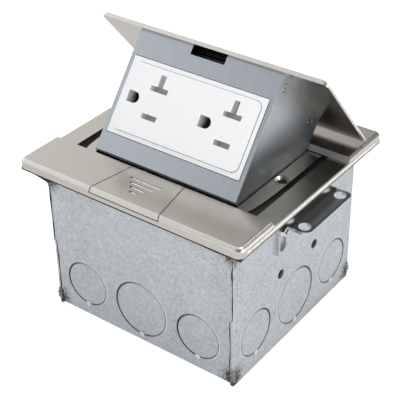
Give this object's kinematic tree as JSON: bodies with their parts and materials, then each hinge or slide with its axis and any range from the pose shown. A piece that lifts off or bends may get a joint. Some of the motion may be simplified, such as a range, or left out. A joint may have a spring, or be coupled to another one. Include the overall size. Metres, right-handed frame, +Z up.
{
  "type": "floor socket box",
  "caption": "Metal floor box with a flush cover, a sprung pop-up housing that holds a duplex receptacle, and a sliding release button.",
  "frame": {"origin": "centre of the underside of the back box", "axes": "+X to the right seen from the release button side, -Y towards the release button, +Z up out of the floor"},
  "size_m": [0.1212, 0.112, 0.1282],
  "materials": {
    "galvanised": "matte",
    "nickel": "satin",
    "zinc_plate": "satin",
    "zinc_screw": "gloss",
    "brushed_shell": "satin",
    "white_plastic": "satin",
    "white_body": "matte",
    "black_plastic": "matte",
    "grey_plastic": "matte",
    "black_rubber": "matte",
    "brass": "satin",
    "green_screw": "gloss",
    "spring_steel": "satin"
  },
  "bodies": {
    "base": {"box_shell": "galvanised", "box_side_right": "galvanised", "box_side_left": "galvanised", "knockouts_small": "galvanised", "knockouts_large": "galvanised", "ground_screw": "green_screw", "mounting_bracket_right": "zinc_plate", "mounting_bracket_left": "zinc_plate", "bracket_screws": "zinc_screw", "cover_flange": "nickel", "floor_gasket": "black_rubber", "latch_guide": "zinc_plate", "carrier_frame": "zinc_plate", "pocket_strip_right": "nickel", "pocket_strip_left": "nickel", "moat_gaskets": "black_rubber", "strip_screws": "zinc_screw", "cover_screws": "zinc_screw", "pivot_pins": "zinc_screw", "stop_pins": "zinc_screw"},
    "popup": {"lid": "nickel", "lid_channel": "zinc_plate", "lid_screws": "zinc_screw", "housing_front": "brushed_shell", "housing_side_right": "brushed_shell", "housing_side_left": "brushed_shell", "housing_side_screws": "zinc_screw", "housing_back": "brushed_shell", "cord_bushings": "black_plastic", "latch_keeper": "black_plastic", "receptacle_face": "white_plastic", "receptacle_body": "white_body", "receptacle_strap": "zinc_plate", "strap_nuts": "zinc_screw", "hot_contacts": "brass", "neutral_contacts": "brass", "ground_contacts": "brass", "hot_terminal_screws": "brass", "neutral_terminal_screws": "zinc_screw", "torsion_springs": "spring_steel"},
    "release_button": {"release_button": "nickel", "latch_carriage": "black_plastic", "button_screw": "zinc_screw", "button_springs": "spring_steel"},
    "latch_bolt": {"latch_bolt": "zinc_plate"},
    "shutter_left": {"shutter_left": "grey_plastic"},
    "shutter_right": {"shutter_right": "grey_plastic"}
  },
  "joints": [
    {"name": "popup_hinge", "type": "hinge", "parent": "base", "child": "popup", "pos_m": [0, 0.0365, 0.0651], "axis": [1, 0, 0], "range_deg": [0, 50.5], "stiffness_Nm_per_rad": 1, "springref_deg": -20.05},
    {"name": "button_slide", "type": "slide", "parent": "base", "child": "release_button", "axis": [0, -1, 0], "range_m": [0, 0.004], "stiffness_N_per_m": 200},
    {"name": "bolt_slide", "type": "slide", "parent": "release_button", "child": "latch_bolt", "axis": [0, 1, 0], "range_m": [0, 0.003]},
    {"name": "shutter_left_slide", "type": "slide", "parent": "popup", "child": "shutter_left", "axis": [0, 0.6184, 0.7859], "range_m": [0, 0.0026], "stiffness_N_per_m": 60},
    {"name": "shutter_right_slide", "type": "slide", "parent": "popup", "child": "shutter_right", "axis": [0, 0.6184, 0.7859], "range_m": [0, 0.0026], "stiffness_N_per_m": 60}
  ]
}
